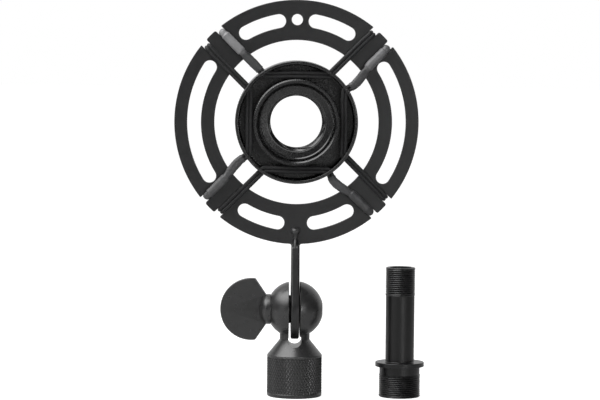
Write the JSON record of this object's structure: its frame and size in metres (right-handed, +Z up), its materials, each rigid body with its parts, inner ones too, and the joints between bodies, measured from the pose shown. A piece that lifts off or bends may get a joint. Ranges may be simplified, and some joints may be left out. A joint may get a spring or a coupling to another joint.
{
  "type": "microphone shock mount",
  "caption": "Microphone shock mount: slotted ring on an arm, cup with threaded ring nut hung on elastic cords, clamping swivel with stand socket, and a loose thread adapter.",
  "frame": {"origin": "centre of the footprint of the whole set, on the plane that the stand socket and the loose adapter stand on; the swivel's own axis is 2.2 mm to -X of it", "axes": "+Z up along the stand socket's axis, -Y the side that the suspension ring and the microphone seat face, +X towards the loose adapter; the arm tilts about X"},
  "size_m": [0.1344, 0.0318, 0.2115],
  "materials": {
    "cast_black": "die casting, fine matt black powder coat",
    "turned_black": "turned and knurled, satin black paint",
    "plain_steel": "plain steel",
    "washer_nylon": "black nylon",
    "cord_braid": "braided black cover over elastic, laid in pairs",
    "shrink_tube": "dull dark grey heat-shrink tube"
  },
  "bodies": {
    "swivel": {"swivel_body": "turned_black", "friction_washer_left": "washer_nylon", "friction_washer_right": "washer_nylon"},
    "thumbscrew": {"thumbscrew_wing": "cast_black", "clamp_stud": "plain_steel"},
    "frame": {"ring_frame": "cast_black", "elastic_cord_1": "cord_braid", "elastic_cord_2": "cord_braid", "elastic_cord_3": "cord_braid", "elastic_cord_4": "cord_braid", "shrink_sleeve_1": "shrink_tube", "shrink_sleeve_2": "shrink_tube", "shrink_sleeve_3": "shrink_tube", "shrink_sleeve_4": "shrink_tube", "crimp_ferrule_1": "plain_steel", "crimp_ferrule_2": "plain_steel", "crimp_ferrule_3": "plain_steel", "crimp_ferrule_4": "plain_steel"},
    "cup": {"inner_cup": "turned_black", "nut_washer": "washer_nylon", "retaining_washer": "plain_steel"},
    "nut": {"ring_nut": "turned_black", "retaining_ring": "plain_steel"},
    "adapter": {"thread_adapter": "turned_black"}
  },
  "joints": [
    {"name": "arm_tilt", "type": "hinge", "parent": "swivel", "child": "frame", "pos_m": [-0.00217, 0, 0.0465], "axis": [1, 0, 0], "range_deg": [-105, 105]},
    {"name": "thumbscrew_turn", "type": "hinge", "parent": "swivel", "child": "thumbscrew", "pos_m": [-0.00217, 0, 0.0465], "axis": [-1, 0, 0], "continuous": true},
    {"name": "suspension_travel", "type": "slide", "parent": "frame", "child": "cup", "axis": [0, 1, 0], "range_m": [-0.005, 0.005], "stiffness_N_per_m": 1500, "deforming": ["elastic_cord_1", "elastic_cord_2", "elastic_cord_3", "elastic_cord_4", "shrink_sleeve_1", "shrink_sleeve_2", "shrink_sleeve_3", "shrink_sleeve_4", "crimp_ferrule_1", "crimp_ferrule_2", "crimp_ferrule_3", "crimp_ferrule_4"]},
    {"name": "ring_nut_turn", "type": "hinge", "parent": "cup", "child": "nut", "pos_m": [-0.00217, 0, 0.1465], "axis": [0, 1, 0], "continuous": true},
    {"name": "adapter_slide", "type": "slide", "parent": "swivel", "child": "adapter", "axis": [1, 0, 0], "range_m": [0, 0.06]}
  ]
}
